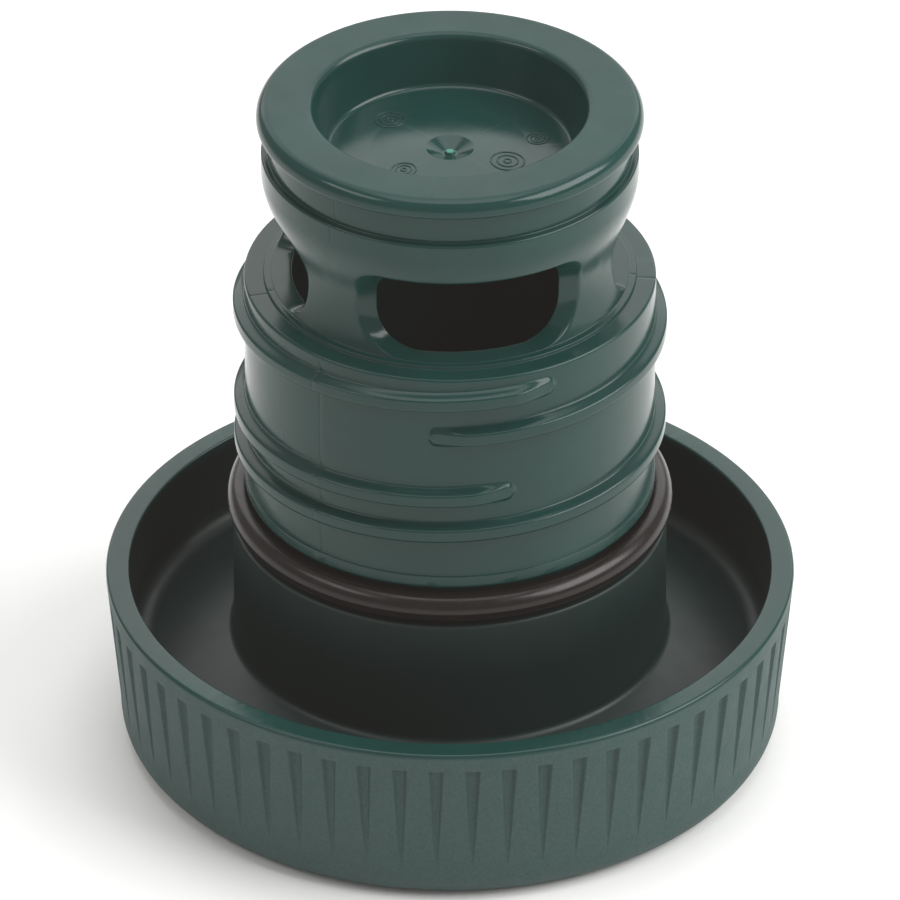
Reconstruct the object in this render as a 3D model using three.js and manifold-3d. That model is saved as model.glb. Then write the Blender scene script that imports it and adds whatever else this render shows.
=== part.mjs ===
// Twist-in stopper of a large vacuum jug, standing upside down on its wide grip cap.
// Millimetres, +Z up. The origin is the centre of the cap's outer face, which is what it rests on.
// Build order, from the bottom up: cap cover, cap foam, grip cap, bore plug with its foam core,
// stopper body (threads, ledge, windowed cage and dished end), neck seal ring.

import * as THREE from 'three';
import { mergeVertices } from 'three/addons/utils/BufferGeometryUtils.js';
import Module from 'manifold-3d';

const wasm = await Module();
wasm.setup();

// ---------- driving dimensions ----------

const GAP = 0.3;                 // clearance left between neighbouring pieces
const SEGMENTS = 48;             // facets round a turned piece
const FOAM_SEGMENTS = 36;

// grip cap
const RIM_RADIUS = 40.0;         // outside of the skirt at its open rim
const RIM_Z = 21.1;              // height of the rim
const SKIRT_FOOT_RADIUS = 38.4;  // outside of the skirt just above the rounded edge
const EDGE_RADIUS = 3.5;         // rounding between skirt and outer face
const SKIRT_WALL = 2.75;
const RECESS_FLOOR_Z = 12.9;     // floor of the ring-shaped recess, at the collar's foot
const RECESS_EDGE_Z = 10.2;      // the floor slopes down to this at the skirt
const RECESS_ROUNDING = 2.0;
const RECESS_DRAFT = 0.2;        // how much narrower the recess is at its floor
const WEB_THICKNESS = 2.6;       // of the cap's floor
const COLLAR_RADIUS = 25.05;     // raised collar that the stem sits in
const COLLAR_TOP_Z = 28.7;
const HOLLOW_DRAFT = 0.4;        // extra wall round the hollow under the floor
const COVER_RADIUS = 33.0;
const COVER_THICKNESS = 2.2;
const COVER_LEDGE = 1.5;         // ledge that the cover snaps against
const COVER_LEDGE_THICKNESS = 1.6;

// grip flutes
const FLUTE_COUNT = 60;
const FLUTE_TURN = -2.3;         // degrees, first flute from the front
const FLUTE_WIDTH = 1.7;
const FLUTE_DEPTH = 0.75;
const FLUTE_TOP_Z = 18.7;
const FLUTE_POINT_Z = 5.2;

// stopper body
const NECK_RADIUS = 22.2;        // inside the collar and under the seal ring
const NECK_END_Z = 11.4;         // open end, inside the cap
const WALL_RADIUS = 23.5;        // threaded wall
const SHOULDER_Z = 32.9;         // end of the threaded wall, next to the seal ring
const BEAD_RADIUS = 23.65;       // flat bead at that end
const BEAD_TOP_Z = 34.6;
const LEDGE_Z = 60.8;
const SILL_RADIUS = 21.2;        // raised ring on the ledge, level with the sills
const SILL_Z = 61.15;
const CAGE_FOOT_RADIUS = 20.4;
const WAIST_RADIUS = 19.45;
const WAIST_Z = 66.0;
const RIM_BAND_RADIUS = 21.4;    // band above the windows
const RIM_BAND_Z = 73.8;
const GROOVE_RADIUS = 20.6;
const GROOVE_LOW_Z = 77.0;
const GROOVE_HIGH_Z = 80.3;
const LIP_RADIUS = 21.9;
const END_Z = 82.9;              // flat face of the lip
const LIP_FLAT_OUTER = 20.4;
const LIP_FLAT_INNER = 16.5;
const DISH_RADIUS = 15.3;
const DISH_FLOOR_RADIUS = 14.0;
const DISH_FLOOR_Z = 76.8;
const DISH_CROWN = 0.35;         // how far the floor's middle stands above its edge
const DISH_FLOOR_THICKNESS = 2.4;
const DIMPLE_RADIUS = 2.8;
const DIMPLE_DEPTH = 0.9;
const BORE_RADIUS = 20.0;        // bore of neck and threaded wall
const CAGE_BORE_RADIUS = 18.0;
const LEDGE_UNDERSIDE_Z = 57.9;

// thread ridges, right-handed
const THREAD_LEAD = 4.7;
const RIDGE_HEIGHT = 1.3;
const RIDGE_ROOT = 2.6;
const RIDGE_CREST = 1.5;
const RIDGE_EMBED = 0.5;         // how far the ridge reaches into the wall
const RIDGE_END_SHARE = 0.15;    // height left at the very end
const RIDGE_RUNOUT = 12;         // degrees over which each end fades into the wall
const RIDGE_STEP = 9;            // degrees between sections of a ridge
const RIDGES = [
  { start: -6, turn: 396, startZ: 53.3 },
  { start: 95, turn: 643, startZ: 37.2 },
];

// windows through the cage
const WINDOW_TURN = 7.7;         // degrees, wide window's middle from the front
const WINDOW_LOW_Z = 61.25;
const WINDOW_HIGH_Z = 71.8;
const WINDOW_HALF_WIDTHS = [11.4, 7.8, 11.4, 7.8];
const WINDOW_CUT_START = 8;      // distance from the axis at which each cut begins

// neck seal ring
const RING_SECTION = 3.53;
const RING_OUTER_RADIUS = 25.8;
const RING_Z = 30.8;

// bore plug and its foam core
const PLUG_RADIUS = BORE_RADIUS - GAP;
const PLUG_TOP_Z = 33.2;
const PLUG_WALL = 1.8;
const PLUG_FLANGE_RADIUS = 24.0;
const PLUG_FLANGE_THICKNESS = 1.6;

// ---------- materials ----------

function plastic(colour, roughness) {
  return new THREE.MeshStandardMaterial({ color: colour, roughness, metalness: 0 });
}

const moulding = () => plastic(0x2c514b, 0.35);
const gripMoulding = () => plastic(0x4c5f5b, 0.6);
const rubber = () => plastic(0x1d1512, 0.3);
const foam = () => plastic(0xe6dfca, 0.95);

// ---------- solids ----------

// A closed geometry becomes a manifold solid: only positions, shared vertices merged.
function solidOf(geometry) {
  const bare = geometry.clone();
  bare.deleteAttribute('normal');
  bare.deleteAttribute('uv');
  const merged = mergeVertices(bare, 1e-4);
  const index = merged.index.array;
  const faces = [];
  for (let i = 0; i < index.length; i += 3) {
    const [a, b, c] = [index[i], index[i + 1], index[i + 2]];
    if (a !== b && b !== c && c !== a) {
      faces.push(a, b, c);
    }
  }
  return new wasm.Manifold(new wasm.Mesh({
    numProp: 3,
    vertProperties: new Float32Array(merged.attributes.position.array),
    triVerts: new Uint32Array(faces),
  }));
}

function geometryOf(solid) {
  const mesh = solid.getMesh();
  const geometry = new THREE.BufferGeometry();
  geometry.setAttribute('position', new THREE.BufferAttribute(new Float32Array(mesh.vertProperties), 3));
  geometry.setIndex(new THREE.BufferAttribute(new Uint32Array(mesh.triVerts), 1));
  geometry.computeVertexNormals();
  return geometry;
}

// Turns a closed outline of [radius, z] points about the Z axis.
// The outline runs up its outer side, so that the faces point out.
function turned(outline, segments = SEGMENTS) {
  const points = outline.map(([radius, z]) => new THREE.Vector2(radius, z));
  const onAxis = outline[0][0] === 0 && outline.at(-1)[0] === 0;
  if (!onAxis) {
    points.push(points[0].clone());
  }
  const geometry = new THREE.LatheGeometry(points, segments);
  geometry.rotateX(Math.PI / 2);
  return solidOf(geometry);
}

// Points on an arc of the outline, angles in degrees from the outward radial direction.
function arc(radius, z, size, from, to, steps = 4) {
  const points = [];
  for (let i = 0; i <= steps; i += 1) {
    const angle = THREE.MathUtils.degToRad(from + ((to - from) * i) / steps);
    points.push([radius + size * Math.cos(angle), z + size * Math.sin(angle)]);
  }
  return points;
}

// Position on a cylinder: angle 0 is the front (-Y) and grows towards +X.
function around(radius, degrees, z) {
  const angle = THREE.MathUtils.degToRad(degrees);
  return new THREE.Vector3(radius * Math.sin(angle), -radius * Math.cos(angle), z);
}

// ---------- grip cap ----------

// The skirt widens evenly from its rounded edge to the rim.
function skirtRadius(z) {
  const share = (z - EDGE_RADIUS) / (RIM_Z - EDGE_RADIUS);
  return SKIRT_FOOT_RADIUS + (RIM_RADIUS - SKIRT_FOOT_RADIUS) * share;
}

// One V-shaped flute with a square upper end and a point at the bottom, cut from the skirt.
function fluteCutter() {
  const reach = FLUTE_DEPTH + 1;
  const halfWidth = (FLUTE_WIDTH / 2) * (reach / FLUTE_DEPTH);
  const vee = new THREE.Shape([
    new THREE.Vector2(0, 0),
    new THREE.Vector2(halfWidth, reach),
    new THREE.Vector2(-halfWidth, reach),
  ]);
  const length = FLUTE_TOP_Z - FLUTE_POINT_Z;
  const geometry = new THREE.ExtrudeGeometry(vee, { depth: length, bevelEnabled: false });
  const position = geometry.attributes.position;
  for (let i = 0; i < position.count; i += 1) {
    const [across, out, up] = [position.getX(i), position.getY(i), position.getZ(i)];
    const z = FLUTE_POINT_Z + up;
    const bottom = skirtRadius(z) - (FLUTE_DEPTH * up) / length;
    position.setXYZ(i, -across, -(bottom + out), z);
  }
  return solidOf(geometry);
}

function gripCap() {
  const recessRadius = RIM_RADIUS - SKIRT_WALL;
  const recessFootRadius = recessRadius - RECESS_DRAFT;
  const webLow = RECESS_FLOOR_Z - WEB_THICKNESS;
  const hollowRadius = SKIRT_FOOT_RADIUS - SKIRT_WALL - HOLLOW_DRAFT;
  const seatRadius = COVER_RADIUS + GAP;
  const seatZ = COVER_THICKNESS + GAP;
  const outline = [
    ...arc(SKIRT_FOOT_RADIUS - EDGE_RADIUS, EDGE_RADIUS, EDGE_RADIUS, -90, 0, 4),
    [skirtRadius(RIM_Z - 0.4), RIM_Z - 0.4],
    [RIM_RADIUS - 0.4, RIM_Z],
    [recessRadius, RIM_Z],
    ...arc(recessFootRadius - RECESS_ROUNDING, RECESS_EDGE_Z + RECESS_ROUNDING, RECESS_ROUNDING, 0, -75, 3),
    [COLLAR_RADIUS + 0.6, RECESS_FLOOR_Z],
    [COLLAR_RADIUS, RECESS_FLOOR_Z + 0.6],
    [COLLAR_RADIUS, COLLAR_TOP_Z - 0.5],
    [COLLAR_RADIUS - 0.5, COLLAR_TOP_Z],
    [NECK_RADIUS + GAP, COLLAR_TOP_Z],
    [NECK_RADIUS + GAP, NECK_END_Z],
    [PLUG_FLANGE_RADIUS + GAP, NECK_END_Z],
    [PLUG_FLANGE_RADIUS + GAP, webLow],
    [hollowRadius, RECESS_EDGE_Z - WEB_THICKNESS],
    [hollowRadius, seatZ + COVER_LEDGE_THICKNESS],
    [seatRadius - COVER_LEDGE, seatZ + COVER_LEDGE_THICKNESS],
    [seatRadius - COVER_LEDGE, seatZ],
    [seatRadius, seatZ],
    [seatRadius, 0],
  ];
  let cap = turned(outline, FLUTE_COUNT);
  const flute = fluteCutter();
  for (let i = 0; i < FLUTE_COUNT; i += 1) {
    const turn = FLUTE_TURN + (i * 360) / FLUTE_COUNT;
    cap = cap.subtract(flute.rotate([0, 0, turn]));
  }
  return cap;
}

function capCover() {
  return turned([
    [0, 0],
    [COVER_RADIUS - 0.5, 0],
    [COVER_RADIUS, 0.5],
    [COVER_RADIUS, COVER_THICKNESS],
    [0, COVER_THICKNESS],
  ]);
}

function capInsulation() {
  const low = COVER_THICKNESS + GAP;
  const high = NECK_END_Z - PLUG_FLANGE_THICKNESS - GAP;
  const edgeHigh = RECESS_EDGE_Z - WEB_THICKNESS - GAP;
  const radius = COVER_RADIUS - COVER_LEDGE - GAP;
  return turned([
    [0, low],
    [radius, low],
    [radius, edgeHigh],
    [PLUG_FLANGE_RADIUS, high],
    [0, high],
  ], FOAM_SEGMENTS);
}

// ---------- bore plug ----------

function borePlug() {
  const high = NECK_END_Z - GAP;
  const low = high - PLUG_FLANGE_THICKNESS;
  const inside = PLUG_RADIUS - PLUG_WALL;
  return turned([
    [inside, low],
    [PLUG_FLANGE_RADIUS, low],
    [PLUG_FLANGE_RADIUS, high],
    [PLUG_RADIUS, high],
    [PLUG_RADIUS, PLUG_TOP_Z - 1],
    [PLUG_RADIUS - 1, PLUG_TOP_Z],
    [0, PLUG_TOP_Z],
    [0, PLUG_TOP_Z - PLUG_WALL],
    [inside, PLUG_TOP_Z - PLUG_WALL],
  ]);
}

function boreInsulation() {
  const low = NECK_END_Z - PLUG_FLANGE_THICKNESS;
  const high = PLUG_TOP_Z - PLUG_WALL - GAP;
  const radius = PLUG_RADIUS - PLUG_WALL - GAP;
  return turned([
    [0, low],
    [radius, low],
    [radius, high],
    [0, high],
  ], FOAM_SEGMENTS);
}

// ---------- stopper body ----------

// A trapezoid bar is extruded straight, then wound round the wall as a helix.
function threadRidge({ start, turn, startZ }) {
  const bar = new THREE.Shape([
    new THREE.Vector2(-RIDGE_ROOT / 2, -RIDGE_EMBED),
    new THREE.Vector2(RIDGE_ROOT / 2, -RIDGE_EMBED),
    new THREE.Vector2(RIDGE_ROOT / 2, 0),
    new THREE.Vector2(RIDGE_CREST / 2, RIDGE_HEIGHT),
    new THREE.Vector2(-RIDGE_CREST / 2, RIDGE_HEIGHT),
    new THREE.Vector2(-RIDGE_ROOT / 2, 0),
  ]);
  const steps = Math.round(turn / RIDGE_STEP);
  const geometry = new THREE.ExtrudeGeometry(bar, { depth: turn, steps, bevelEnabled: false });
  const position = geometry.attributes.position;
  for (let i = 0; i < position.count; i += 1) {
    const [up, out, along] = [position.getX(i), position.getY(i), position.getZ(i)];
    const fade = Math.min(1, along / RIDGE_RUNOUT, (turn - along) / RIDGE_RUNOUT);
    const height = out > 0 ? out * Math.max(RIDGE_END_SHARE, fade) : out;
    const z = startZ + (THREE.MathUtils.degToRad(along) / (2 * Math.PI)) * THREAD_LEAD + up;
    const point = around(WALL_RADIUS + height, start + along, z);
    position.setXYZ(i, point.x, point.y, point.z);
  }
  return solidOf(geometry);
}

// An obround bar, lying along the radius that it cuts.
function windowCutter(halfWidth, turn) {
  const halfHeight = (WINDOW_HIGH_Z - WINDOW_LOW_Z) / 2;
  const straight = halfWidth - halfHeight;
  const slot = new THREE.Shape();
  slot.moveTo(-straight, -halfHeight);
  slot.lineTo(straight, -halfHeight);
  slot.absarc(straight, 0, halfHeight, -Math.PI / 2, Math.PI / 2, false);
  slot.lineTo(-straight, halfHeight);
  slot.absarc(-straight, 0, halfHeight, Math.PI / 2, (3 * Math.PI) / 2, false);
  const depth = WALL_RADIUS - WINDOW_CUT_START;
  const geometry = new THREE.ExtrudeGeometry(slot, { depth, bevelEnabled: false, curveSegments: 6 });
  geometry.rotateX(Math.PI / 2);
  geometry.translate(0, -WINDOW_CUT_START, WINDOW_LOW_Z + halfHeight);
  return solidOf(geometry).rotate([0, 0, turn]);
}

// The cage narrows above the ledge, then flares into the band above the windows.
function cageOutline() {
  return [
    [CAGE_FOOT_RADIUS, SILL_Z],
    [WAIST_RADIUS + 0.5, WAIST_Z - 3.5],
    [WAIST_RADIUS + 0.15, WAIST_Z - 2],
    [WAIST_RADIUS, WAIST_Z - 0.5],
    [WAIST_RADIUS + 0.05, WAIST_Z + 1],
    [WAIST_RADIUS + 0.65, WAIST_Z + 3.5],
    [WAIST_RADIUS + 1.6, WAIST_Z + 6.4],
    [RIM_BAND_RADIUS, RIM_BAND_Z],
    [RIM_BAND_RADIUS, GROOVE_LOW_Z - 0.6],
  ];
}

function stopperBody() {
  const dishLow = DISH_FLOOR_Z - DISH_FLOOR_THICKNESS;
  const lipRounding = LIP_RADIUS - LIP_FLAT_OUTER;
  const outline = [
    [NECK_RADIUS, NECK_END_Z],
    [NECK_RADIUS, SHOULDER_Z],
    [BEAD_RADIUS, SHOULDER_Z],
    [BEAD_RADIUS, BEAD_TOP_Z - 0.15],
    [WALL_RADIUS, BEAD_TOP_Z],
    [WALL_RADIUS, LEDGE_Z - 0.3],
    [WALL_RADIUS - 0.3, LEDGE_Z],
    [SILL_RADIUS + 0.05, LEDGE_Z],
    [SILL_RADIUS, SILL_Z],
    ...cageOutline(),
    [GROOVE_RADIUS, GROOVE_LOW_Z],
    [GROOVE_RADIUS, GROOVE_HIGH_Z],
    ...arc(LIP_FLAT_OUTER, END_Z - lipRounding, lipRounding, -45, 90, 4),
    [LIP_FLAT_INNER, END_Z],
    [DISH_RADIUS + 0.3, END_Z - 0.7],
    [DISH_RADIUS, END_Z - 1.6],
    [DISH_FLOOR_RADIUS, DISH_FLOOR_Z + 0.8],
    [DISH_FLOOR_RADIUS - 0.8, DISH_FLOOR_Z],
    [DISH_FLOOR_RADIUS - 5, DISH_FLOOR_Z],
    [DIMPLE_RADIUS, DISH_FLOOR_Z + DISH_CROWN],
    [0, DISH_FLOOR_Z + DISH_CROWN - DIMPLE_DEPTH],
    [0, dishLow],
    [CAGE_BORE_RADIUS - 1, dishLow],
    [CAGE_BORE_RADIUS, dishLow - 1],
    [CAGE_BORE_RADIUS, LEDGE_UNDERSIDE_Z],
    [BORE_RADIUS, LEDGE_UNDERSIDE_Z],
    [BORE_RADIUS, NECK_END_Z],
  ];
  let body = turned(outline);
  for (const ridge of RIDGES) {
    body = body.add(threadRidge(ridge));
  }
  WINDOW_HALF_WIDTHS.forEach((halfWidth, i) => {
    body = body.subtract(windowCutter(halfWidth, WINDOW_TURN + 90 * i));
  });
  return body;
}

// ---------- neck seal ring ----------

function neckSealRing() {
  const size = RING_SECTION / 2;
  const section = arc(RING_OUTER_RADIUS - size, RING_Z, size, -90, 270, 10);
  section.pop();
  return turned(section);
}

// ---------- assembly ----------

const stopper = new THREE.Group();

function addPiece(name, solid, material) {
  const mesh = new THREE.Mesh(geometryOf(solid), material);
  mesh.name = name;
  stopper.add(mesh);
}

addPiece('cap_cover', capCover(), gripMoulding());
addPiece('cap_insulation_disc', capInsulation(), foam());
addPiece('grip_cap', gripCap(), gripMoulding());
addPiece('bore_plug', borePlug(), moulding());
addPiece('bore_insulation_core', boreInsulation(), foam());
addPiece('stopper_body', stopperBody(), moulding());
addPiece('neck_seal_ring', neckSealRing(), rubber());

export default stopper;
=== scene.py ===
"""Looks of the jug stopper: smooth turned meshes, moulded plastic, seal rubber, studio light and camera."""

import math

import bmesh
import bpy
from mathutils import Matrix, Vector


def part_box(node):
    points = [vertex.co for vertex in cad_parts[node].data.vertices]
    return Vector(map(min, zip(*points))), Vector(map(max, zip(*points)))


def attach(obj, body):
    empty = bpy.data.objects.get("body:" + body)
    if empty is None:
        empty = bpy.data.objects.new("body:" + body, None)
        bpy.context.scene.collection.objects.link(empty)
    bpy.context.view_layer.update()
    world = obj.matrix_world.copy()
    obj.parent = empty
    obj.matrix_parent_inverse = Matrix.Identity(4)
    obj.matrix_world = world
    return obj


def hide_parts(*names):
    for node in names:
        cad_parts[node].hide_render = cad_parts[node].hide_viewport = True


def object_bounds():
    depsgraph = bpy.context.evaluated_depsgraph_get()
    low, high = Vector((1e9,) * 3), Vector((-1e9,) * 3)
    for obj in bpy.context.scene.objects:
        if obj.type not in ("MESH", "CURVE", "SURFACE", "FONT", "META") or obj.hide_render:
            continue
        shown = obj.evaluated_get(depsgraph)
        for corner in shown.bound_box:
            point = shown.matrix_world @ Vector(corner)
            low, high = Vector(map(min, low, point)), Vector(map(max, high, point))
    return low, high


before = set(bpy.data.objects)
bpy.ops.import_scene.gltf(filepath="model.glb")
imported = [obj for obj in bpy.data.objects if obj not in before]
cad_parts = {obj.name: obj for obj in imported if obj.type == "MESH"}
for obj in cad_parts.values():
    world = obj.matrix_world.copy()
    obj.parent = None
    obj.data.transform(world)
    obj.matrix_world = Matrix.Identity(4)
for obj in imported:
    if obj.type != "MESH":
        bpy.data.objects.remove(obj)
cad_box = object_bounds()

# ---------- sizes, in millimetres ----------

MM = 0.001


def node_box(name):
    """Outer radius, lowest and highest height of a CAD node."""
    low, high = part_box(name)
    return high[0] / MM, low[2] / MM, high[2] / MM


RIM_RADIUS, REST_Z, COLLAR_TOP_Z = node_box("grip_cap")
COVER_RADIUS, COVER_LOW_Z, COVER_HIGH_Z = node_box("cap_cover")
THREAD_RADIUS, NECK_END_Z, END_Z = node_box("stopper_body")
RING_RADIUS, RING_LOW_Z, RING_HIGH_Z = node_box("neck_seal_ring")
PLUG_FLANGE_RADIUS, PLUG_LOW_Z, PLUG_HIGH_Z = node_box("bore_plug")

GAP = 0.3

# grip cap
RIM_Z = 21.1
SKIRT_WALL = 2.75
FOOT_RADIUS = RIM_RADIUS - 1.56
EDGE_RADIUS = 3.5
RECESS_FLOOR_Z = 12.9            # at the collar's foot; the floor slopes down to the skirt
RECESS_EDGE_Z = 10.2
WEB_THICKNESS = 2.6
COLLAR_RADIUS = 25.05
NECK_RADIUS = 22.2

# grip flutes
FLUTE_COUNT = 60
FLUTE_TURN = -2.3
FLUTE_WIDTH = 1.75
FLUTE_DEPTH = 0.62
FLUTE_TOP_Z = 18.7
FLUTE_POINT_Z = 4.6

# stopper body
WALL_RADIUS = 23.5
SHOULDER_Z = 32.9
BEAD_RADIUS = 23.65
BEAD_TOP_Z = 34.6
LEDGE_Z = 60.8
SILL_RADIUS = 21.2
SILL_Z = 61.15
CAGE_FOOT_RADIUS = 20.4
BAND_RADIUS = 21.4
BAND_LOW_Z = 73.8
GROOVE_RADIUS = 20.6
GROOVE_LOW_Z = 77.0
GROOVE_HIGH_Z = 80.3
LIP_RADIUS = 21.9
LIP_FLAT_INNER = 16.5
DISH_FLOOR_RADIUS = 14.0
DISH_FLOOR_Z = 76.8
DISH_FLAT_INNER = 9.0
DISH_CROWN = 0.35               # how far the floor's middle stands above its edge
DISH_FLOOR_THICKNESS = 2.4
DIMPLE_RADIUS = 2.75
DIMPLE_DEPTH = 0.8
BORE_RADIUS = 20.0
CAGE_BORE_RADIUS = 18.0
LEDGE_UNDERSIDE_Z = 57.9

# thread ridges: angles in degrees from the front, growing towards +X
THREAD_LEAD = 4.7
RIDGE_HEIGHT = 1.3
RIDGE_HALF_ROOT = 1.25
RIDGE_FLANK = 0.55
RIDGE_RUNOUT = 13
RIDGE_NOSE = 2.4                # rounded tip at each end, in degrees
RIDGE_END_SHARE = 0.3           # share of the height that is left at the tip
RIDGES = ((-6, 390, 53.36), (-265, 378, 40.65))   # start, end, height where it would cross the front

# windows: middle of the wide front window; half width inside, how much wider outside, corner radii
WINDOW_TURN = 7.7
WIDE_WINDOW = {"half_span": 51.75, "half_width": 10.15, "spread": 2.5,
               "low_corner": 5.0, "high_corner": 2.6}
NARROW_WINDOW = {"half_span": 38.25, "half_width": 7.3, "spread": 1.5,
                 "low_corner": 2.2, "high_corner": 5.0}
WINDOW_LOW_Z = 61.25
WINDOW_HIGH_Z = 71.8

# round mould marks on the floor of the dish: angle, distance from the axis, size
MOULD_MARKS = ((-134, 9.5, 1.7), (104, 10.2, 1.2), (-49, 6.9, 1.4), (68, 7.0, 1.9))

PARTING_ANGLES = (-38.6, 141.4)
PARTING_DEPTH = 0.05
LEDGE_SEAM_ANGLES = (-76.5, 86.2)

# ---------- mesh building ----------


def point_at(radius, degrees, z):
    """A point on a cylinder round the axis. Angle 0 is the front, -Y, and grows towards +X."""
    angle = math.radians(degrees)
    return (radius * math.sin(angle), -radius * math.cos(angle), z)


def rounded(corners, steps=4):
    """Turns corners (radius, z, fillet) of an open outline into points, with arcs at the fillets."""
    points = []
    for index, (radius, z, fillet) in enumerate(corners):
        here = Vector((radius, z))
        if fillet == 0 or index in (0, len(corners) - 1):
            points.append((radius, z))
            continue
        back = (Vector(corners[index - 1][:2]) - here).normalized()
        ahead = (Vector(corners[index + 1][:2]) - here).normalized()
        half = back.angle(ahead) / 2
        centre = here + (back + ahead).normalized() * (fillet / math.sin(half))
        first = here + back * (fillet / math.tan(half)) - centre
        last = here + ahead * (fillet / math.tan(half)) - centre
        sweep = first.angle_signed(last)
        start = math.atan2(first.y, first.x)
        for step in range(steps + 1):
            angle = start - sweep * step / steps
            points.append((centre.x + fillet * math.cos(angle), centre.y + fillet * math.sin(angle)))
    return points


class Surface:
    """Points and faces of one piece, in millimetres, made of rings that are joined in order."""

    def __init__(self, angles):
        self.angles = angles
        self.points = []
        self.faces = []

    def add(self, point):
        self.points.append(point)
        return len(self.points) - 1

    def ring(self, radius, z):
        """A closed ring. radius and z are numbers, or functions of the angle in degrees."""
        radius_at = radius if callable(radius) else lambda angle: radius
        z_at = z if callable(z) else lambda angle: z
        return [self.add(point_at(radius_at(a), a, z_at(a))) for a in self.angles]

    def join(self, lower, upper):
        """Joins two loops with the same number of points; their faces look outwards."""
        count = len(lower)
        for i in range(count):
            j = (i + 1) % count
            self.faces.append((lower[i], lower[j], upper[j], upper[i]))

    def chain(self, rings):
        for lower, upper in zip(rings, rings[1:]):
            self.join(lower, upper)

    def turn(self, outline, first=None):
        """Rings along an outline, joined to each other and to the ring before them."""
        rings = [self.ring(radius, z) for radius, z in outline]
        self.chain(([first] if first else []) + rings)
        return rings

    def cap(self, ring, z, upper=True):
        """Closes a ring with a fan to a point on the axis."""
        centre = self.add((0, 0, z))
        for i in range(len(ring)):
            j = (i + 1) % len(ring)
            self.faces.append((ring[i], ring[j], centre) if upper else (ring[j], ring[i], centre))

    def piece(self, name, merge=False):
        """The finished Blender object, in metres, shaded smooth with flat faces kept flat."""
        mesh = bpy.data.meshes.new(name)
        mesh.from_pydata([tuple(c * MM for c in p) for p in self.points], [], self.faces)
        if merge:
            merge_points(mesh)
        mesh.validate()
        mesh.shade_smooth()
        piece = bpy.data.objects.new(name, mesh)
        bpy.context.scene.collection.objects.link(piece)
        normals = piece.modifiers.new("even_normals", "WEIGHTED_NORMAL")
        normals.weight = 50
        return piece


def merge_points(mesh):
    work = bmesh.new()
    work.from_mesh(mesh)
    bmesh.ops.remove_doubles(work, verts=work.verts, dist=1e-7)
    bmesh.ops.dissolve_degenerate(work, edges=work.edges, dist=1e-8)
    work.to_mesh(mesh)
    work.free()


def even_angles(count):
    return [360 * i / count for i in range(count)]


def ease(value):
    """Smooth step from 0 to 1."""
    value = min(1, max(0, value))
    return value * value * (3 - 2 * value)


# ---------- grip cap ----------


def skirt_radius(z):
    return FOOT_RADIUS + (RIM_RADIUS - FOOT_RADIUS) * (z - EDGE_RADIUS) / (RIM_Z - EDGE_RADIUS)


# Across one flute: (place as a share of its half width, share of its depth).
FLUTE_SECTION = ((-1.22, 0), (-1.05, 0.03), (-0.94, 0.22), (-0.66, 0.78), (-0.42, 1.0),
                 (0.42, 1.0), (0.66, 0.78), (0.94, 0.22), (1.05, 0.03), (1.22, 0))
FLUTE_LAND = (-0.42, 0.42)     # two more columns on the flat land, as shares of the pitch


def skirt_columns(z):
    """(angle, depth) of every column of the fluted skirt at this height, once round."""
    pitch = 360 / FLUTE_COUNT
    share = min(1, max(0, (z - FLUTE_POINT_Z) / (FLUTE_TOP_Z - FLUTE_POINT_Z)))
    top_end = 1 - ease((z - FLUTE_TOP_Z) / 0.25 + 0.5)
    depth = FLUTE_DEPTH * share ** 0.8 * top_end
    half_width = math.degrees(FLUTE_WIDTH / 2 / RIM_RADIUS) * (0.14 + 0.86 * share ** 0.85)
    columns = []
    for flute in range(FLUTE_COUNT):
        middle = FLUTE_TURN + flute * pitch
        columns.append((middle + FLUTE_LAND[0] * pitch, 0))
        columns += [(middle + across * half_width, down * depth) for across, down in FLUTE_SECTION]
        columns.append((middle + FLUTE_LAND[1] * pitch, 0))
    return columns


def skirt_ring(surface, z, inset=0):
    """A ring of the fluted outer wall. inset is how far the rounding at either end draws it in."""
    return [surface.add(point_at(skirt_radius(z) - inset - depth, angle, z))
            for angle, depth in skirt_columns(z)]


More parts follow.
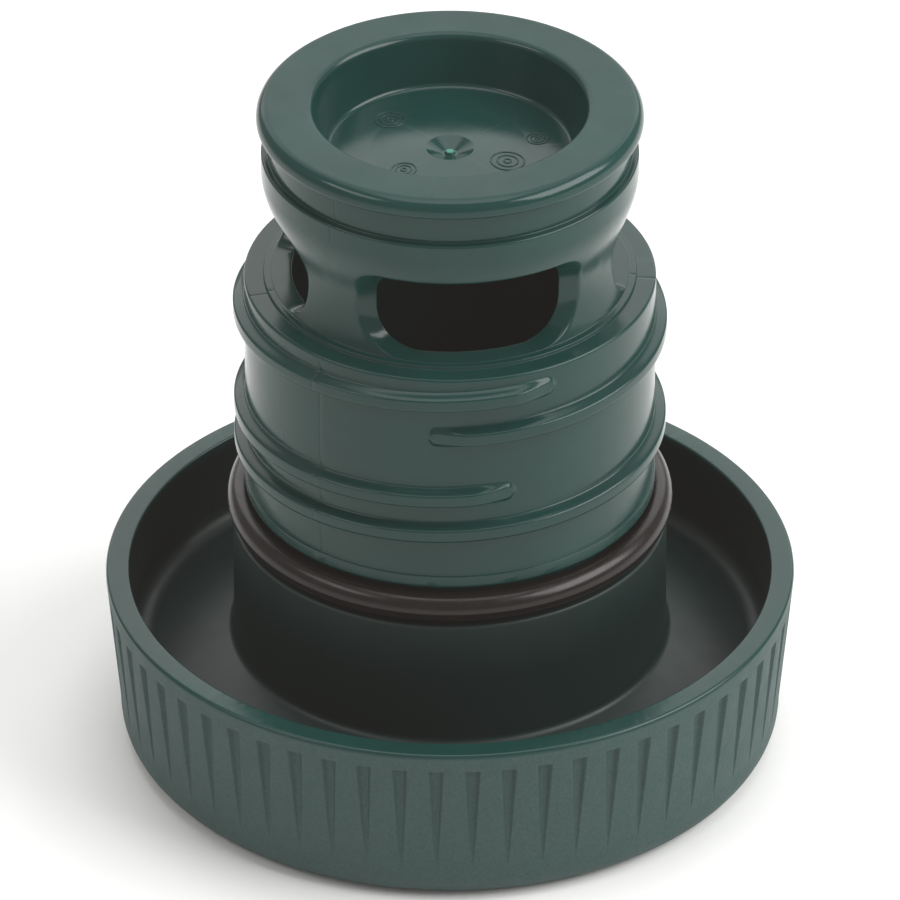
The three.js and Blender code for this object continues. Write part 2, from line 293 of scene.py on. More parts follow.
def make_grip_cap():
    surface = Surface([angle for angle, _ in skirt_columns(RIM_Z)])
    inner = RIM_RADIUS - SKIRT_WALL
    seat = COVER_RADIUS + GAP
    seat_z = COVER_HIGH_Z + GAP
    hollow = FOOT_RADIUS - SKIRT_WALL - 0.4

    foot = rounded([(seat, REST_Z, 0), (FOOT_RADIUS - 0.05, REST_Z, EDGE_RADIUS - 0.1),
                    (skirt_radius(FLUTE_POINT_Z), FLUTE_POINT_Z, 0)], steps=9)
    rings = surface.turn([(seat, REST_Z + 0.4), (seat + 0.12, REST_Z + 0.12), (seat + 0.4, REST_Z)]
                         + foot[1:-1])
    heights = [FLUTE_POINT_Z + 0.2 * i * (1 + 0.35 * i) for i in range(13)]
    heights = [z for z in heights if z < FLUTE_TOP_Z - 0.6]
    heights += [FLUTE_TOP_Z + step for step in (-0.35, -0.15, -0.08, -0.03, 0.03, 0.08, 0.15, 0.35)]
    heights += [RIM_Z - 1.6, RIM_Z - 1.0]
    walls = [skirt_ring(surface, z) for z in heights]
    surface.chain([rings[-1]] + walls)

    top = rounded([(skirt_radius(RIM_Z - 1), RIM_Z - 1, 0), (RIM_RADIUS, RIM_Z, 0.45),
                   (inner, RIM_Z, 0.3), (inner - 0.25, RECESS_EDGE_Z - 0.3, 2.0),
                   (COLLAR_RADIUS + 0.1, RECESS_FLOOR_Z, 0.9),
                   (COLLAR_RADIUS, COLLAR_TOP_Z, 0.35), (NECK_RADIUS + GAP, COLLAR_TOP_Z, 0.2),
                   (NECK_RADIUS + GAP, COLLAR_TOP_Z - 2, 0)], steps=5)
    rings = surface.turn(top[1:], first=walls[-1])
    under = [(NECK_RADIUS + GAP, NECK_END_Z), (PLUG_FLANGE_RADIUS + GAP, NECK_END_Z),
             (PLUG_FLANGE_RADIUS + GAP, RECESS_FLOOR_Z - WEB_THICKNESS),
             (hollow, RECESS_EDGE_Z - WEB_THICKNESS), (hollow, seat_z + 1.6),
             (seat - 1.5, seat_z + 1.6), (seat - 1.5, seat_z), (seat, seat_z)]
    last = surface.turn(under, first=rings[-1])[-1]
    first_ring = list(range(len(surface.angles)))
    surface.join(last, first_ring)
    return surface.piece("grip_cap_moulding")


def make_cover():
    """The outer face: a disc with a raised border, a shallow ring and a small gate mark."""
    surface = Surface(even_angles(180))
    low = REST_Z
    outline = [(0.9, low + 0.5, 0), (1.5, low + 0.5, 0.15), (1.9, low + 0.1, 0.15)]
    outline += [(COVER_RADIUS - 9, low + 0.1, 0.3), (COVER_RADIUS - 8.4, low + 0.7, 0.3),
                (COVER_RADIUS - 5.6, low + 0.7, 0.3), (COVER_RADIUS - 5, low, 0.3)]
    outline += [(COVER_RADIUS, low, 0.5), (COVER_RADIUS, COVER_HIGH_Z, 0.2), (2, COVER_HIGH_Z, 0)]
    rings = surface.turn(rounded(outline, steps=3))
    surface.cap(rings[0], low + 0.35, upper=False)
    surface.cap(rings[-1], COVER_HIGH_Z)
    return surface.piece("cap_cover_disc")


# ---------- stopper body ----------


def half_span_angles(span):
    """Angles from -span to span, evenly spaced."""
    count = round(2 * span / 1.5)
    return [-span + 2 * span * i / count for i in range(count + 1)]


NOSE_STEPS = (-0.05, 0.12, 0.35, 0.7, 1.2, 1.8, 2.5)     # degrees from a ridge's tip, inwards


def add_columns(angles, place, steps):
    """Puts finer columns at a place, if it lies well inside this stretch of angles."""
    centre = (place + 180) % 360 - 180
    if abs(centre) > angles[-1] - 3:
        return angles
    low, high = centre + min(steps) - 0.3, centre + max(steps) + 0.3
    kept = [a for a in angles if a < low or a > high]
    return sorted(kept + [centre + step for step in steps])


def sector_angles(window, middle):
    """Columns of one window's sector, with extra ones beside each fine line that crosses it."""
    angles = half_span_angles(window["half_span"])
    for line in PARTING_ANGLES + LEDGE_SEAM_ANGLES:
        angles = add_columns(angles, line - middle, (-0.42, -0.16, 0, 0.16, 0.42))
    for start, end, _ in RIDGES:
        angles = add_columns(angles, start - middle, NOSE_STEPS)
        angles = add_columns(angles, end - middle, [-step for step in NOSE_STEPS])
    return sorted(angles)


SECTORS = []
for number in range(4):
    shape = (WIDE_WINDOW, NARROW_WINDOW)[number % 2]
    turn = WINDOW_TURN + 90 * number
    SECTORS.append({**shape, "middle": turn, "angles": sector_angles(shape, turn)})
BODY_ANGLES = [s["middle"] + a for s in SECTORS for a in s["angles"][:-1]]


def near_line(angle, lines):
    """1 on one of the fine lines, falling to 0 at 0.3 of a degree beside it."""
    nearest = min(abs((angle - line + 180) % 360 - 180) for line in lines)
    return max(0, 1 - nearest / 0.3)


def parted(radius):
    """The radius of a moulded wall, with the fine groove of the parting line."""
    return lambda angle: radius - PARTING_DEPTH * near_line(angle, PARTING_ANGLES)


def seamed(z):
    """The height of the ledge, with its two short seams."""
    return lambda angle: z - PARTING_DEPTH * near_line(angle, LEDGE_SEAM_ANGLES)


def ridge_height(angle, z):
    """How far the thread ridges stand out of the wall there."""
    tallest = 0
    for start, end, front_z in RIDGES:
        turns = round((z - front_z) / THREAD_LEAD - angle / 360)
        along = angle + 360 * turns
        from_tip = min(along - start, end - along)
        if from_tip <= 0:
            continue
        blunt = 1 - min(1, from_tip / RIDGE_NOSE)
        half_root = RIDGE_HALF_ROOT * math.sqrt(1 - blunt * blunt)
        offset = abs(z - front_z - THREAD_LEAD * along / 360)
        flank = (half_root - offset) / RIDGE_FLANK
        section = sum(min(1, max(0, flank + nudge)) for nudge in (-0.12, 0, 0.12)) / 3
        fade = RIDGE_END_SHARE + (1 - RIDGE_END_SHARE) * ease(from_tip / RIDGE_RUNOUT)
        tallest = max(tallest, RIDGE_HEIGHT * section * fade)
    return tallest


def thread_rows(begin):
    """Heights within one lead, at the first column, of rows that climb with the thread."""
    across = (-1.5, -1.28, -1.18, -0.98, -0.78, -0.68, -0.58, 0, 0.58, 0.68, 0.78, 0.98, 1.18, 1.28, 1.5)
    places = []
    for _, _, front_z in RIDGES:
        middle = front_z + THREAD_LEAD * begin / 360
        places += [(middle + offset) % THREAD_LEAD for offset in across]
    spaced = []
    for place in sorted(places):
        if not spaced or place - spaced[-1] > 0.05:
            spaced.append(place)
    return spaced


def threaded_wall(surface, low, high):
    """The wall between two heights as a grid that climbs with the thread.
    Rows beyond either end lie on it, so that the first and last row are level rings."""
    begin = surface.angles[0]
    places = thread_rows(begin)
    leads = range(math.floor(low / THREAD_LEAD) - 2, math.ceil(high / THREAD_LEAD) + 2)
    rows = [THREAD_LEAD * lead + place for lead in leads for place in places]
    grid = []
    for row in rows:
        line = []
        for angle in surface.angles:
            z = min(high, max(low, row + THREAD_LEAD * (angle - begin) / 360))
            radius = parted(WALL_RADIUS)(angle) + ridge_height(angle, z)
            line.append(surface.add(point_at(radius, angle, z)))
        grid.append(line)
    lead_rows = len(places)
    last = len(surface.angles) - 1
    for k in range(len(rows) - 1):
        for j in range(last):
            surface.faces.append((grid[k][j], grid[k][j + 1], grid[k + 1][j + 1], grid[k + 1][j]))
        if k + lead_rows + 1 < len(rows):
            surface.faces.append((grid[k][last], grid[k + lead_rows][0],
                                  grid[k + lead_rows + 1][0], grid[k + 1][last]))
    return grid[0], grid[-1]


CAGE_LOW_Z = SILL_Z + 0.04           # level edges of the windowed stretch, outside and inside
CAGE_HIGH_Z = 74.6
BORE_LOW_Z = 59.2
BORE_HIGH_Z = 73.4
CAGE_ROWS = 18                       # points up each post
CAGE_FLARE = ((CAGE_LOW_Z, CAGE_FOOT_RADIUS), (62.5, 19.95), (64.0, 19.6), (65.5, 19.46), (67.0, 19.52),
              (68.4, 19.78), (69.5, 20.1), (70.5, 20.43), (71.5, 20.76), (72.4, 21.04),
              (BAND_LOW_Z - 0.4, 21.28), (CAGE_HIGH_Z, BAND_RADIUS), (GROOVE_LOW_Z, BAND_RADIUS))


def cage_radius(z):
    """The outside of the cage: a smooth curve through CAGE_FLARE."""
    points = CAGE_FLARE
    if z <= points[0][0]:
        return points[0][1]
    index = max(i for i in range(len(points) - 1) if points[i][0] <= z)
    (z0, r0), (z1, r1) = points[index], points[index + 1]
    before = points[max(index - 1, 0)]
    after = points[min(index + 2, len(points) - 1)]
    slope0 = (r1 - before[1]) / (z1 - before[0])
    slope1 = (after[1] - r0) / (after[0] - z0)
    t = (z - z0) / (z1 - z0)
    span = z1 - z0
    return ((2 * t ** 3 - 3 * t ** 2 + 1) * r0 + (t ** 3 - 2 * t ** 2 + t) * span * slope0
            + (3 * t ** 2 - 2 * t ** 3) * r1 + (t ** 3 - t ** 2) * span * slope1)


def window_loop(sector):
    """Where each point of the sector's edge meets the window's outline.
    Goes round from the lower left corner; each entry is (side, place), where side is the part of
    the sector's edge and place is an angle on a level edge or a share of the height on a post."""
    angles = sector["angles"]
    shares = [i / CAGE_ROWS for i in range(CAGE_ROWS + 1)]
    loop = [("low", a) for a in angles]
    loop += [("right", q) for q in shares[1:]]
    loop += [("high", a) for a in reversed(angles[:-1])]
    loop += [("left", q) for q in reversed(shares[1:-1])]
    return loop


def corner_path(share, size, corner):
    """A quarter of a rounded square, from the middle of its side (share 0) to that of its top (1)."""
    flat = size - corner
    bend = corner * math.pi / 2
    along = share * (2 * flat + bend)
    if along < flat:
        return size, along
    if along > flat + bend:
        return 2 * flat + bend - along, size
    turned = (along - flat) / corner
    return flat + corner * math.cos(turned), flat + corner * math.sin(turned)


def on_outline(sector, side, place, half_width, low, high):
    """The window's outline, as (sideways, height), opposite that point of the sector's edge."""
    size = (high - low) / 2
    straight = half_width - size
    span = sector["half_span"]
    straight_span = span * 0.42
    middle_z = (low + high) / 2
    if side in ("low", "high"):
        up = -1 if side == "low" else 1
        if abs(place) <= straight_span:
            return straight * place / straight_span, middle_z + up * size
        hand = math.copysign(1, place)
        share = 1 - 0.5 * (abs(place) - straight_span) / (span - straight_span)
    else:
        hand = 1 if side == "right" else -1
        up = -1 if place < 0.5 else 1
        share = abs(place - 0.5)
    corner = min(size, sector["low_corner" if up < 0 else "high_corner"])
    across, rise = corner_path(share, size, corner)
    return hand * (straight + across), middle_z + up * rise


def blend(a, b, share):
    return tuple(p + (q - p) * share for p, q in zip(a, b))


def bend_between(start, corner, end, share):
    """A point on the curve that leaves start towards corner and arrives at end."""
    return blend(blend(start, corner, share), blend(corner, end, share), share)


OUTER_SHARES = (0.2, 0.4, 0.58, 0.73, 0.85, 0.93)     # rows from the sector's edge to the window
EDGE_SHARES = (0.2, 0.4, 0.6, 0.8, 1)                 # points along a rounded window edge


def window_column(sector, side, place):
    """Points from the sector's edge to the window, through it and back along the inside wall."""
    middle = sector["middle"]
    half_width = sector["half_width"]
    outer = on_outline(sector, side, place, half_width + sector["spread"], CAGE_LOW_Z + 0.02, WINDOW_HIGH_Z)
    inner = on_outline(sector, side, place, half_width, WINDOW_LOW_Z, WINDOW_HIGH_Z - 1.0)
    edge = edge_position(sector, side, place, CAGE_LOW_Z, CAGE_HIGH_Z)
    bore_edge = edge_position(sector, side, place, BORE_LOW_Z, BORE_HIGH_Z)
    outer_angle = math.degrees(math.asin(outer[0] / cage_radius(outer[1])))
    inner_angle = math.degrees(math.asin(inner[0] / CAGE_BORE_RADIUS))
    outside = []
    inside = []
    for share in OUTER_SHARES:
        angle, z = blend(edge, (outer_angle, outer[1]), share)
        outside.append(point_at(cage_radius(z), middle + angle, z))
        angle, z = blend(bore_edge, (inner_angle, inner[1]), share)
        inside.append(point_at(CAGE_BORE_RADIUS, middle + angle, z))
    corner = point_at(cage_radius(outer[1]), middle + outer_angle, outer[1])
    far_corner = point_at(CAGE_BORE_RADIUS, middle + inner_angle, inner[1])
    outer_bend = edge_curve(outside[-1], corner, far_corner, 0.35)
    inner_bend = edge_curve(inside[-1], far_corner, corner, 0.25)
    return outside + outer_bend + [blend(corner, far_corner, 0.5)] + inner_bend[::-1] + inside[::-1]


def window_sector(surface, sector, outer_edge, inner_edge):
    """The cage wall round one window: outside, rounded edge, sloping reveal, inner edge, inside."""
    columns = [window_column(sector, side, place) for side, place in window_loop(sector)]
    rows = [[surface.add(spot) for spot in row] for row in zip(*columns)]
    surface.chain([outer_edge] + rows + [inner_edge])


def edge_position(sector, side, place, low, high):
    """A point of the sector's edge as (angle from the window's middle, height)."""
    span = sector["half_span"]
    if side == "low":
        return place, low
    if side == "high":
        return place, high
    return (span if side == "right" else -span), low + (high - low) * place


def edge_curve(start, corner, beyond, size):
    """Points that round an edge: from start, past corner, towards beyond."""
    length = math.dist(corner, beyond)
    end = blend(corner, beyond, min(0.4, size / length))
    return [bend_between(start, corner, end, share) for share in EDGE_SHARES]


def post_columns(surface, radius_at, low, high):
    """The points up each post, shared by the sectors on both sides of it."""
    posts = []
    for sector in SECTORS:
        angle = sector["middle"] + sector["half_span"]
        heights = [low + (high - low) * i / CAGE_ROWS for i in range(1, CAGE_ROWS)]
        posts.append([surface.add(point_at(radius_at(z), angle, z)) for z in heights])
    return posts


def sector_edges(low_ring, high_ring, posts):
    """For each sector, the loop of points round its edge, in the order of window_loop."""
    edges = []
    start = 0
    count = len(low_ring)
    for number, sector in enumerate(SECTORS):
        width = len(sector["angles"]) - 1
        span = [(start + i) % count for i in range(width + 1)]
        loop = [low_ring[i] for i in span]
        loop += posts[number]
        loop += [high_ring[i] for i in reversed(span)]
        loop += reversed(posts[number - 1])
        edges.append(loop)
        start += width
    return edges


def dish_floor_z(distance):
    """Height of the dish's floor, which rises gently from DISH_FLAT_INNER to the dimple."""
    rise = DISH_CROWN / (DISH_FLAT_INNER - DIMPLE_RADIUS)
    return DISH_FLOOR_Z + rise * max(0, DISH_FLAT_INNER - distance)


def add_mould_mark(surface, x, y, size):
    """A plain round mark: three thin raised rings, one inside the other."""
    for share in (1, 0.62, 0.22):
        loops = []
        for section in range(6):
            tilt = math.radians(60 * section)
            radius = size * share + 0.1 * math.cos(tilt)
            loop = []
            for step in range(36):
                turn = math.radians(10 * step)
                mark_x = x + radius * math.sin(turn)
                mark_y = y - radius * math.cos(turn)
                floor_z = dish_floor_z(math.hypot(mark_x, mark_y))
                loop.append(surface.add((mark_x, mark_y, floor_z + 0.01 + 0.09 * math.sin(tilt))))
            loops.append(loop)
        surface.chain(loops + [loops[0]])


def make_stopper_body():
    surface = Surface(BODY_ANGLES)
    outline = rounded([(BORE_RADIUS, NECK_END_Z, 0), (NECK_RADIUS, NECK_END_Z, 0.3),
                       (NECK_RADIUS, SHOULDER_Z, 0.4), (BEAD_RADIUS, SHOULDER_Z, 0.5),
                       (BEAD_RADIUS, BEAD_TOP_Z - 0.05, 0.1), (WALL_RADIUS - 0.03, BEAD_TOP_Z, 0.05),
                       (WALL_RADIUS, BEAD_TOP_Z + 0.3, 0)])
    start = surface.turn(outline)
    wall_low, wall_high = threaded_wall(surface, BEAD_TOP_Z + 0.3, LEDGE_Z - 0.5)
    surface.join(start[-1], wall_low)

    ledge = rounded([(WALL_RADIUS, LEDGE_Z - 0.5, 0), (WALL_RADIUS, LEDGE_Z, 0.35),
                     (SILL_RADIUS + 0.1, LEDGE_Z, 0.08), (SILL_RADIUS, SILL_Z, 0.12),
                     (CAGE_FOOT_RADIUS + 0.3, SILL_Z, 0)])
    rings = [surface.ring(radius, seamed(z)) for radius, z in ledge[1:]]
    foot = surface.ring(CAGE_FOOT_RADIUS + 0.06, SILL_Z + 0.01)
    low_ring = surface.ring(cage_radius(CAGE_LOW_Z), CAGE_LOW_Z)
    surface.chain([wall_high] + rings + [foot, low_ring])

    high_ring = surface.ring(parted(cage_radius(CAGE_HIGH_Z)), CAGE_HIGH_Z)
    bore_low = surface.ring(CAGE_BORE_RADIUS, BORE_LOW_Z)
    bore_high = surface.ring(CAGE_BORE_RADIUS, BORE_HIGH_Z)
    outer_posts = post_columns(surface, cage_radius, CAGE_LOW_Z, CAGE_HIGH_Z)
    inner_posts = post_columns(surface, lambda z: CAGE_BORE_RADIUS, BORE_LOW_Z, BORE_HIGH_Z)
    outer_edges = sector_edges(low_ring, high_ring, outer_posts)
    inner_edges = sector_edges(bore_low, bore_high, inner_posts)
    for sector, outer, inner in zip(SECTORS, outer_edges, inner_edges):
        window_sector(surface, sector, outer, inner)

    lip_low = LIP_RADIUS - 1.1
    crown_z = DISH_FLOOR_Z + DISH_CROWN
    dimple_z = crown_z - DIMPLE_DEPTH
    top = rounded([(BAND_RADIUS, CAGE_HIGH_Z, 0), (BAND_RADIUS, GROOVE_LOW_Z, 0.3),
                   (GROOVE_RADIUS, GROOVE_LOW_Z, 0.15), (GROOVE_RADIUS, GROOVE_HIGH_Z, 0.15),
                   (lip_low, GROOVE_HIGH_Z, 0.1), (LIP_RADIUS, GROOVE_HIGH_Z + 0.6, 0.55),
                   (LIP_RADIUS, END_Z, 1.45), (LIP_FLAT_INNER - 0.9, END_Z, 0.9),
                   (DISH_FLOOR_RADIUS, DISH_FLOOR_Z, 0.7), (DISH_FLAT_INNER, DISH_FLOOR_Z, 8),
                   (DIMPLE_RADIUS, crown_z, 0.12), (0.9, dimple_z, 0.4), (0.62, dimple_z, 0.05),
                   (0.5, dimple_z + 0.35, 0.12), (0.1, dimple_z + 0.4, 0)], steps=6)
    last_parted = GROOVE_HIGH_Z + 0.01
    rings = [surface.ring(parted(r) if z > GROOVE_LOW_Z - 0.5 and z < last_parted and r > 20 else r, z)
             for r, z in top[1:]]
    surface.chain([high_ring] + rings)
    surface.cap(rings[-1], dimple_z + 0.36)
    for angle, distance, size in MOULD_MARKS:
        x, y, _ = point_at(distance, angle, 0)
        add_mould_mark(surface, x, y, size)

    under_z = DISH_FLOOR_Z - DISH_FLOOR_THICKNESS
    centre_ring = surface.ring(1.0, under_z)
    surface.cap(centre_ring, under_z, upper=False)
    inside = rounded([(1.0, under_z, 0), (CAGE_BORE_RADIUS, under_z, 0.8),
                      (CAGE_BORE_RADIUS, BORE_HIGH_Z, 0)])
    rings = surface.turn(inside[1:-1], first=centre_ring)
    surface.join(rings[-1], bore_high)
    rest = rounded([(CAGE_BORE_RADIUS, BORE_LOW_Z, 0), (CAGE_BORE_RADIUS, LEDGE_UNDERSIDE_Z, 0.3),
                    (BORE_RADIUS, LEDGE_UNDERSIDE_Z, 0.5), (BORE_RADIUS, NECK_END_Z + 1, 0)])
    rings = surface.turn(rest[1:], first=bore_low)
    surface.join(rings[-1], start[0])
    return surface.piece("stopper_body_moulding", merge=True)


# ---------- seal ring and bore plug ----------


def make_seal_ring():
    """A rubber ring with the fine flash line of its mould round the outside."""
    surface = Surface(even_angles(240))
    size = (RING_HIGH_Z - RING_LOW_Z) / 2
    middle = (RING_HIGH_Z + RING_LOW_Z) / 2
    rings = []
    for step in range(48):
        angle = 2 * math.pi * step / 48
        flash = 0.04 * max(0, 1 - abs(math.sin(angle)) / 0.09) * (math.cos(angle) > 0)
        reach = size - 0.04 + flash
        rings.append(surface.ring(RING_RADIUS - size + reach * math.cos(angle),
                                  middle + reach * math.sin(angle)))
    surface.chain(rings + [rings[0]])
    return surface.piece("neck_seal_rubber")


def make_bore_plug():
    surface = Surface(even_angles(96))
    radius = BORE_RADIUS - GAP
    inside = radius - 1.8
    outline = rounded([(inside, PLUG_LOW_Z, 0), (PLUG_FLANGE_RADIUS, PLUG_LOW_Z, 0.3),
                       (PLUG_FLANGE_RADIUS, NECK_END_Z - GAP, 0.3), (radius, NECK_END_Z - GAP, 0.3),
                       (radius, PLUG_HIGH_Z, 1.0), (1.5, PLUG_HIGH_Z, 0)])
    rings = surface.turn(outline)
    surface.cap(rings[-1], PLUG_HIGH_Z)
    hollow_z = PLUG_HIGH_Z - 1.8
    centre_ring = surface.ring(1.5, hollow_z)
    surface.cap(centre_ring, hollow_z, upper=False)
    hollow = surface.turn([(inside - 0.5, hollow_z), (inside, hollow_z - 0.5)], first=centre_ring)
    surface.join(hollow[-1], rings[0])
    return surface.piece("bore_plug_moulding")


# ---------- materials ----------


class Nodes:
    """Short names for building one node material."""

    def __init__(self, name):
        self.material = bpy.data.materials.new(name)
        self.material.use_nodes = True
        self.tree = self.material.node_tree
        self.shader = self.tree.nodes["Principled BSDF"]
        self.place = self.node("ShaderNodeTexCoord").outputs["Object"]

    def node(self, kind, **settings):
        node = self.tree.nodes.new(kind)
        for key, value in settings.items():
            setattr(node, key, value)
        return node

    def feed(self, socket, value):
        """Sets a socket to a value, or links another socket to it."""
        if isinstance(value, bpy.types.NodeSocket):
            self.tree.links.new(value, socket)
        else:
            socket.default_value = value

    def noise(self, scale, detail=3, roughness=0.5):
        node = self.node("ShaderNodeTexNoise")
        self.feed(node.inputs["Vector"], self.place)
        node.inputs["Scale"].default_value = scale
        node.inputs["Detail"].default_value = detail
        node.inputs["Roughness"].default_value = roughness
        return node.outputs["Fac"]

    def span(self, value, low, high, to_low, to_high):
        """Maps value from low..high to to_low..to_high, clamped."""
        node = self.node("ShaderNodeMapRange")
        for key, item in zip(("Value", "From Min", "From Max", "To Min", "To Max"),
                             (value, low, high, to_low, to_high)):
            self.feed(node.inputs[key], item)
        return node.outputs["Result"]

    def math(self, operation, a, b=0.0):
        node = self.node("ShaderNodeMath", operation=operation)
        self.feed(node.inputs[0], a)
        self.feed(node.inputs[1], b)
        return node.outputs[0]

    def mix(self, share, a, b):
        node = self.node("ShaderNodeMix", data_type="RGBA")
        self.feed(node.inputs["Factor"], share)
        for socket, colour in zip((node.inputs[6], node.inputs[7]), (a, b)):
            self.feed(socket, colour if isinstance(colour, bpy.types.NodeSocket) else (*colour, 1))
        return node.outputs[2]

    def bump(self, height, distance, strength=1.0, under=None):
        node = self.node("ShaderNodeBump")
        self.feed(node.inputs["Height"], height)
        node.inputs["Distance"].default_value = distance
        node.inputs["Strength"].default_value = strength
        if under:
            self.feed(node.inputs["Normal"], under)
        return node.outputs["Normal"]

    def finish(self, colour, roughness, normal, ior=1.49, shine=0.5):
        self.feed(self.shader.inputs["Base Color"], colour)
        self.feed(self.shader.inputs["Roughness"], roughness)
        self.feed(self.shader.inputs["Normal"], normal)
        self.shader.inputs["IOR"].default_value = ior
        self.shader.inputs["Specular IOR Level"].default_value = shine
        return self.material


PLASTIC_SHINE = 0.33             # strength of the mirror reflection
DEEP_GREEN = (0.0048, 0.036, 0.031)
MID_GREEN = (0.0062, 0.045, 0.038)
PAINTED_SHADE_GREEN = (0.004, 0.017, 0.015)     # painted shade of the cap's recess and collar, laid on all below the rim
WORN_GREEN = (0.035, 0.075, 0.068)      # rubbed edges
GRAIN_GREEN = (0.038, 0.082, 0.077)     # tips of the skirt's grain
GATE_GREEN = (0.03, 0.26, 0.17)         # gate mark in the dimple


def moulded_green(nodes):
    """Pigment with faint flow clouds, and edges rubbed a little paler."""
    clouds = nodes.noise(70, detail=4, roughness=0.6)
    colour = nodes.mix(nodes.span(clouds, 0.35, 0.7, 0.0, 1.0), DEEP_GREEN, MID_GREEN)
    pointiness = nodes.node("ShaderNodeNewGeometry").outputs["Pointiness"]
    rubbed = nodes.math("MULTIPLY", nodes.span(pointiness, 0.56, 0.64, 0.0, 0.3),
                        nodes.span(nodes.noise(900, detail=5), 0.4, 0.65, 0.2, 1.0))
    return nodes.mix(rubbed, colour, WORN_GREEN)


def axis_place(nodes):
    """Distance from the axis and height, as sockets, in metres."""
    split = nodes.node("ShaderNodeSeparateXYZ")
    nodes.feed(split.inputs[0], nodes.place)
    squares = [nodes.math("MULTIPLY", split.outputs[i], split.outputs[i]) for i in range(2)]
    return nodes.math("SQRT", nodes.math("ADD", *squares)), split.outputs[2]


def stem_plastic():
    """Polished, with soft waves and fine tool marks; matt on the lip, bright green at the gate."""
    nodes = Nodes("stem_plastic")
    across, height = axis_place(nodes)
    waves = nodes.bump(nodes.noise(110, detail=2), 0.00004, 0.5)
    marks = nodes.bump(nodes.noise(5200, detail=4, roughness=0.6), 0.000004, 0.5, under=waves)
    polished = nodes.span(nodes.noise(260, detail=5, roughness=0.6), 0.3, 0.7, 0.13, 0.21)
    lip = nodes.span(height, (END_Z - 0.25) * MM, (END_Z - 0.05) * MM, 0.0, 0.28)
    gate = nodes.math("MULTIPLY", nodes.span(across, 0.35 * MM, 0.6 * MM, 1.0, 0.0),
                      nodes.span(height, DISH_FLOOR_Z * MM - 0.001, DISH_FLOOR_Z * MM, 0.0, 0.8))
    colour = nodes.mix(gate, moulded_green(nodes), GATE_GREEN)
    return nodes.finish(colour, nodes.math("ADD", polished, lip), marks, shine=PLASTIC_SHINE)


def grip_plastic():
    """Smooth inside and on the rim; fine spark-eroded grain on the skirt's outside and the cover; the darker
    green below the rim and round the collar is painted shade.
    """
    nodes = Nodes("grip_plastic")
    across, height = axis_place(nodes)
    outside = nodes.span(across, (FOOT_RADIUS - 0.9) * MM, (FOOT_RADIUS - 0.4) * MM, 0.0, 1.0)
    below_rim = nodes.span(height, (RIM_Z - 0.7) * MM, (RIM_Z - 0.4) * MM, 1.0, 0.0)
    low = nodes.span(height, (EDGE_RADIUS + 0.2) * MM, (EDGE_RADIUS - 0.2) * MM, 0.0, 1.0)
    grained = nodes.math("MAXIMUM", nodes.math("MULTIPLY", outside, below_rim), low)
    # mask below the rim and round the collar: it places the painted shade colour and the satin roughness
    inside = nodes.math("MAXIMUM", nodes.span(height, (RIM_Z - 1.2) * MM, (RIM_Z - 0.4) * MM, 1.0, 0.0),
                        nodes.span(across, (COLLAR_RADIUS + 2) * MM, (COLLAR_RADIUS + 4) * MM, 1.0, 0.0))
    grain = nodes.noise(4200, detail=5, roughness=0.7)
    pits = nodes.node("ShaderNodeTexVoronoi", feature="F1")
    nodes.feed(pits.inputs["Vector"], nodes.place)
    pits.inputs["Scale"].default_value = 3600
    texture = nodes.math("ADD", grain, nodes.math("MULTIPLY", pits.outputs["Distance"], 0.5))
    waves = nodes.bump(nodes.noise(110, detail=2), 0.00004, 0.5)
    normal = nodes.bump(nodes.math("MULTIPLY", texture, nodes.span(grained, 0.0, 1.0, 0.03, 1.0)),
                        0.00005, 0.8, under=waves)
    variation = nodes.noise(300, detail=5, roughness=0.6)
    satin = nodes.math("MULTIPLY", inside, 0.2)
    smooth = nodes.math("ADD", nodes.span(variation, 0.3, 0.7, 0.17, 0.26), satin)
    matte = nodes.span(variation, 0.3, 0.7, 0.5, 0.6)
    roughness = nodes.math("ADD", nodes.math("MULTIPLY", matte, grained),
                           nodes.math("MULTIPLY", smooth, nodes.math("SUBTRACT", 1.0, grained)))
    speckle = nodes.span(nodes.noise(2600, detail=4, roughness=0.7), 0.3, 0.72, 0.55, 1.0)
    # painted shade: the darker green laid where the mask above is 1, below the rim and round the collar
    plain = nodes.mix(inside, moulded_green(nodes), PAINTED_SHADE_GREEN)
    colour = nodes.mix(nodes.math("MULTIPLY", speckle, grained), plain, GRAIN_GREEN)
    return nodes.finish(colour, roughness, normal, shine=PLASTIC_SHINE)


def seal_rubber():
    nodes = Nodes("seal_rubber")
    dust = nodes.noise(1500, detail=6, roughness=0.7)
    colour = nodes.mix(nodes.span(dust, 0.5, 0.75, 0.0, 0.5), (0.008, 0.0055, 0.005), (0.018, 0.0135, 0.012))
    roughness = nodes.span(nodes.noise(400, detail=4), 0.3, 0.7, 0.2, 0.3)
    normal = nodes.bump(nodes.noise(2400, detail=4, roughness=0.6), 0.00001, 0.5)
    return nodes.finish(colour, roughness, normal, ior=1.52, shine=0.3)


def insulation_foam():
    nodes = Nodes("insulation_foam")
    cells = nodes.node("ShaderNodeTexVoronoi", feature="F1")
    nodes.feed(cells.inputs["Vector"], nodes.place)
    cells.inputs["Scale"].default_value = 1400
    colour = nodes.mix(cells.outputs["Distance"], (0.72, 0.64, 0.47), (0.86, 0.8, 0.66))
    normal = nodes.bump(cells.outputs["Distance"], 0.0003, 0.8)
    return nodes.finish(colour, 0.9, normal)


# ---------- assembly ----------

stem_finish = stem_plastic()
grip_finish = grip_plastic()
rubber_finish = seal_rubber()
foam_finish = insulation_foam()

PIECES = (
    (make_grip_cap, "grip_cap", "grip_plastic", grip_finish),
    (make_cover, "cap_cover", "grip_plastic", grip_finish),
    (make_stopper_body, "stopper_body", "stem_plastic", stem_finish),
    (make_bore_plug, "bore_plug", "stem_plastic", stem_finish),
    (make_seal_ring, "neck_seal_ring", "seal_rubber", rubber_finish),
)
for make, node, slot, finish in PIECES:
    piece = make()
    piece.data.materials.append(finish)
    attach(piece, "root")
    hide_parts(node)

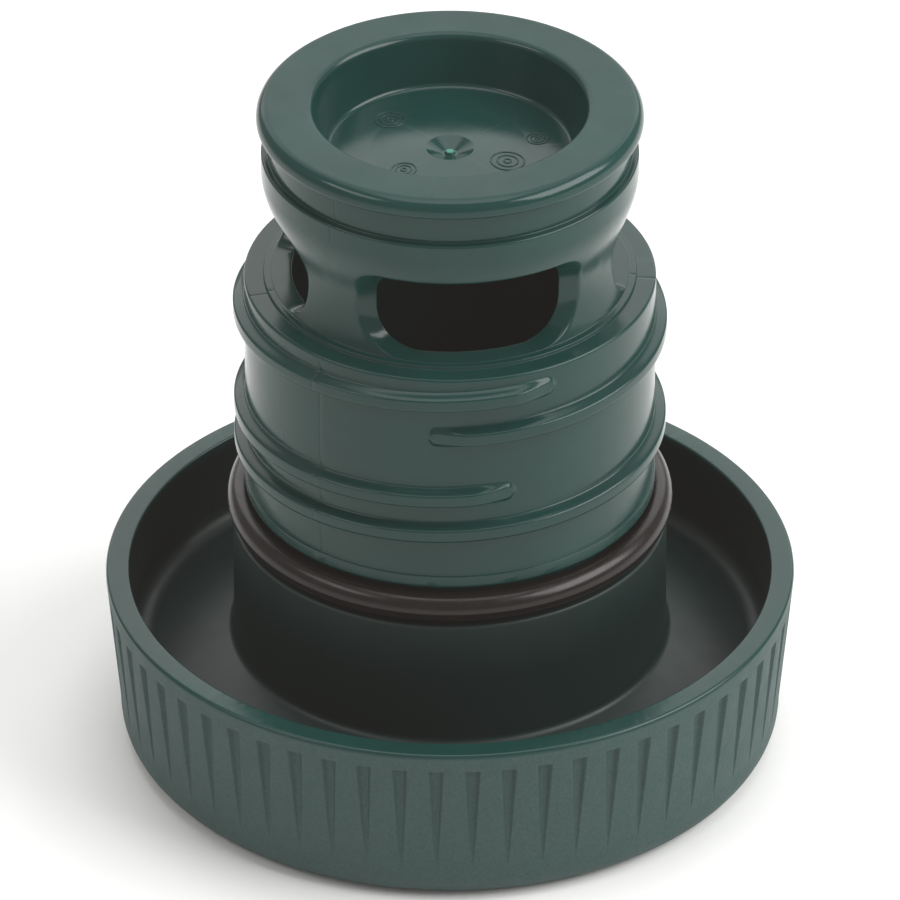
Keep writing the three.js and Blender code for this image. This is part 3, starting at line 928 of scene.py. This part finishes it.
for node in ("cap_insulation_disc", "bore_insulation_core"):
    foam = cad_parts[node]
    if not foam.material_slots:
        foam.data.materials.append(foam_finish)
    foam.material_slots[0].material = foam_finish

# ---------- floor, light and camera ----------

CAMERA_DISTANCE = 1.133
CAMERA_ELEVATION = math.radians(32.72)
CAMERA_LENS = 393.4
CAMERA_AIM_Z = 0.0365


def make_floor():
    mesh = bpy.data.meshes.new("floor")
    half = 3.0
    corners = [(-half, -half, 0), (half, -half, 0), (half, half, 0), (-half, half, 0)]
    mesh.from_pydata(corners, [], [(0, 1, 2, 3)])
    floor = bpy.data.objects.new("floor", mesh)
    floor.location.z = cad_box[0].z - 0.0001
    bpy.context.scene.collection.objects.link(floor)
    nodes = Nodes("floor_paper")
    tone = nodes.mix(nodes.noise(30, detail=3), (0.93, 0.93, 0.925), (0.96, 0.96, 0.955))
    floor.data.materials.append(nodes.finish(tone, 0.9, nodes.bump(nodes.noise(2000), 0.00002, 0.2)))


def soft_light(name, place, size, power, colour=(1, 1, 1)):
    """A rectangular studio light, facing the middle of the object."""
    data = bpy.data.lights.new(name, "AREA")
    data.shape = "RECTANGLE"
    data.size, data.size_y = size
    data.energy = power
    data.color = colour
    light = bpy.data.objects.new(name, data)
    light.location = place
    aim = Vector((0, 0, cad_box[1].z / 2)) - Vector(place)
    light.rotation_euler = aim.to_track_quat("-Z", "Y").to_euler()
    bpy.context.scene.collection.objects.link(light)


def make_lights():
    world = bpy.data.worlds.new("studio")
    world.use_nodes = True
    background = world.node_tree.nodes["Background"]
    background.inputs["Color"].default_value = (1.0, 0.985, 0.965, 1)
    background.inputs["Strength"].default_value = 0.38
    bpy.context.scene.world = world
    soft_light("right_softbox", (0.95, -0.2, 0.85), (1.1, 0.7), 15, (1.0, 0.995, 0.98))
    soft_light("left_softbox", (-0.85, -0.35, 0.95), (0.7, 0.3), 2.5, (1.0, 0.98, 0.95))
    soft_light("back_softbox", (0.0, 1.15, 0.75), (1.8, 0.9), 7.5)
    soft_light("top_softbox", (0.0, 0.1, 1.4), (1.0, 1.0), 7)


def make_view():
    """Plain colours, with the faint grey veil that a bright white studio lays over the darks."""
    view = bpy.context.scene.view_settings
    view.view_transform = "Standard"
    view.use_curve_mapping = True
    view.curve_mapping.black_level = (-0.0155, -0.0135, -0.0125)
    view.curve_mapping.update()


def make_camera():
    data = bpy.data.cameras.new("camera")
    data.sensor_width = 36
    data.lens = CAMERA_LENS
    data.clip_start = 0.01
    data.clip_end = 20
    camera = bpy.data.objects.new("camera", data)
    forward = Vector((0, math.cos(CAMERA_ELEVATION), -math.sin(CAMERA_ELEVATION)))
    camera.location = Vector((0, 0, CAMERA_AIM_Z)) - forward * CAMERA_DISTANCE
    camera.rotation_euler = forward.to_track_quat("-Z", "Y").to_euler()
    bpy.context.scene.collection.objects.link(camera)
    bpy.context.scene.camera = camera


make_floor()
make_lights()
make_view()
make_camera()
